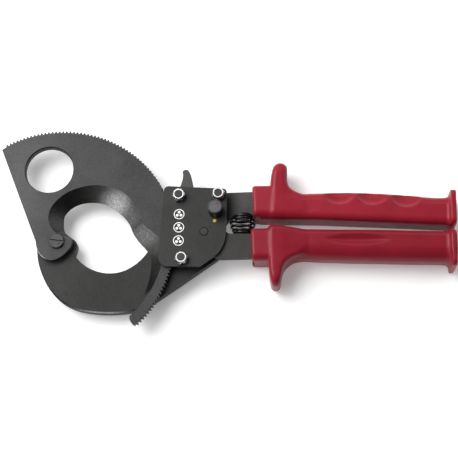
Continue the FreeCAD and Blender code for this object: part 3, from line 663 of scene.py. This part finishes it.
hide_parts("housing_nuts")

# painted highlight: a pale strip along the lower left corner of the pivot eye, where light catches the edge
EDGE = [(-11.3, -5.9), (-10.9, -6.8), (-9.95, -8.2), (-8.9, -9.4), (-7.6, -10.4), (-6.2, -11.2)]
bl_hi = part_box("moving_blade")[1]
zt = (bl_hi.z - ORG.z) * 1000
V, F = tube_mesh([(x * 0.985, y * 0.985, zt - 0.05) for x, y in EDGE], 0.16, 8)
eye_glint = make_mesh("eye_painted_highlight", V, F, M_EDGE_GLINT, "blade")

# dark ring round the rivet head in the cover
V, F = [], []
ring_faces(V, F, 90.4, 4.4, RIV, RIV + 0.42, zc)
ring = make_mesh("rivet_gap", V, F, M_DARK, "frame", smooth=False)

# edges
for n_, w, s in (("frame_plate", 0.28, 2), ("cover_plate", 0.3, 2), ("handle_lever", 0.3, 2),
                 ("moving_blade", 0.12, 1), ("holding_pawl", 0.25, 2), ("pivot_washer", 0.15, 2),
                 ("housing_bushes", 0.15, 1)):
    soften(N[n_], w, s)

# ------------------------------------------------------------------------ floor
bpy.ops.mesh.primitive_plane_add(size=6, location=(0, 0, 0))
floor = bpy.context.object
floor.name = "floor"
fm, nt, b = mat("floor_pale")
v = coords(nt)
nt.links.new(ramp(nt, noise(nt, v, 3, 3.0, 0.5), [(0.3, (0.86, 0.86, 0.86)), (0.7, (0.88, 0.88, 0.88))]), b.inputs["Base Color"])
b.inputs["Roughness"].default_value = 0.9
b.inputs["Specular IOR Level"].default_value = 0.1
b.inputs["Emission Color"].default_value = (1, 1, 1, 1)
b.inputs["Emission Strength"].default_value = 0.23
floor.data.materials.append(fm)


# ------------------------------------------------------------------------ light
def area(name, loc, target, size, energy, size_y=None, color=(1, 1, 1)):
    l = bpy.data.lights.new(name, "AREA")
    l.shape = "RECTANGLE"
    l.size = size
    l.size_y = size_y or size
    l.energy = energy
    l.color = color
    o = bpy.data.objects.new(name, l)
    bpy.context.scene.collection.objects.link(o)
    o.location = loc
    d = Vector(target) - Vector(loc)
    o.rotation_euler = d.to_track_quat("-Z", "Y").to_euler()
    return o


TGT = W(105.3, 8.1, 0)
area("key", TGT + Vector((-0.50, 0.31, 0.82)), TGT, 0.70, 10.5, 0.70)
area("left", TGT + Vector((-0.60, -0.22, 0.70)), TGT, 0.80, 3.8, 0.80)
area("top", TGT + Vector((0.10, 0.85, 0.80)), TGT, 0.9, 1.6, 0.4)
area("side", TGT + Vector((0.93, 0.34, 0.30)), TGT, 0.30, 0.9, 0.30)

w = bpy.data.worlds.new("studio")
bpy.context.scene.world = w
w.use_nodes = True
wt = w.node_tree
bg = wt.nodes["Background"]
tc = wt.nodes.new("ShaderNodeTexCoord")
sx = wt.nodes.new("ShaderNodeSeparateXYZ")
wt.links.new(tc.outputs["Generated"], sx.inputs[0])
mr = wt.nodes.new("ShaderNodeMapRange")
mr.inputs["From Min"].default_value = -1.0
mr.inputs["From Max"].default_value = 1.0
wt.links.new(sx.outputs["Y"], mr.inputs["Value"])
wt.links.new(ramp(wt, mr.outputs["Result"], [(0.0, 0.06), (0.35, 0.08), (0.55, 0.22), (0.85, 0.40)]), bg.inputs["Color"])
bg.inputs["Strength"].default_value = 1.0
bpy.context.scene.view_settings.view_transform = "Standard"

# ----------------------------------------------------------------------- camera
TH, PSI, DIST = math.radians(17.7), math.radians(2.4), 0.700
bdir = Vector((math.sin(PSI) * math.cos(TH), -math.sin(TH), math.cos(PSI) * math.cos(TH)))
fwd = -bdir
right = fwd.cross(Vector((0, 1, 0))).normalized()
upv = right.cross(fwd)
cam_d = bpy.data.cameras.new("camera")
cam = bpy.data.objects.new("camera", cam_d)
bpy.context.scene.collection.objects.link(cam)
rot = Matrix((right, upv, bdir)).transposed().to_4x4()
cam.matrix_world = Matrix.Translation(TGT + bdir * DIST) @ rot
cam_d.sensor_width = 36
cam_d.lens = 36 * (DIST / 0.000614) / 458
cam_d.clip_start = 0.01
cam_d.clip_end = 20
bpy.context.scene.camera = cam
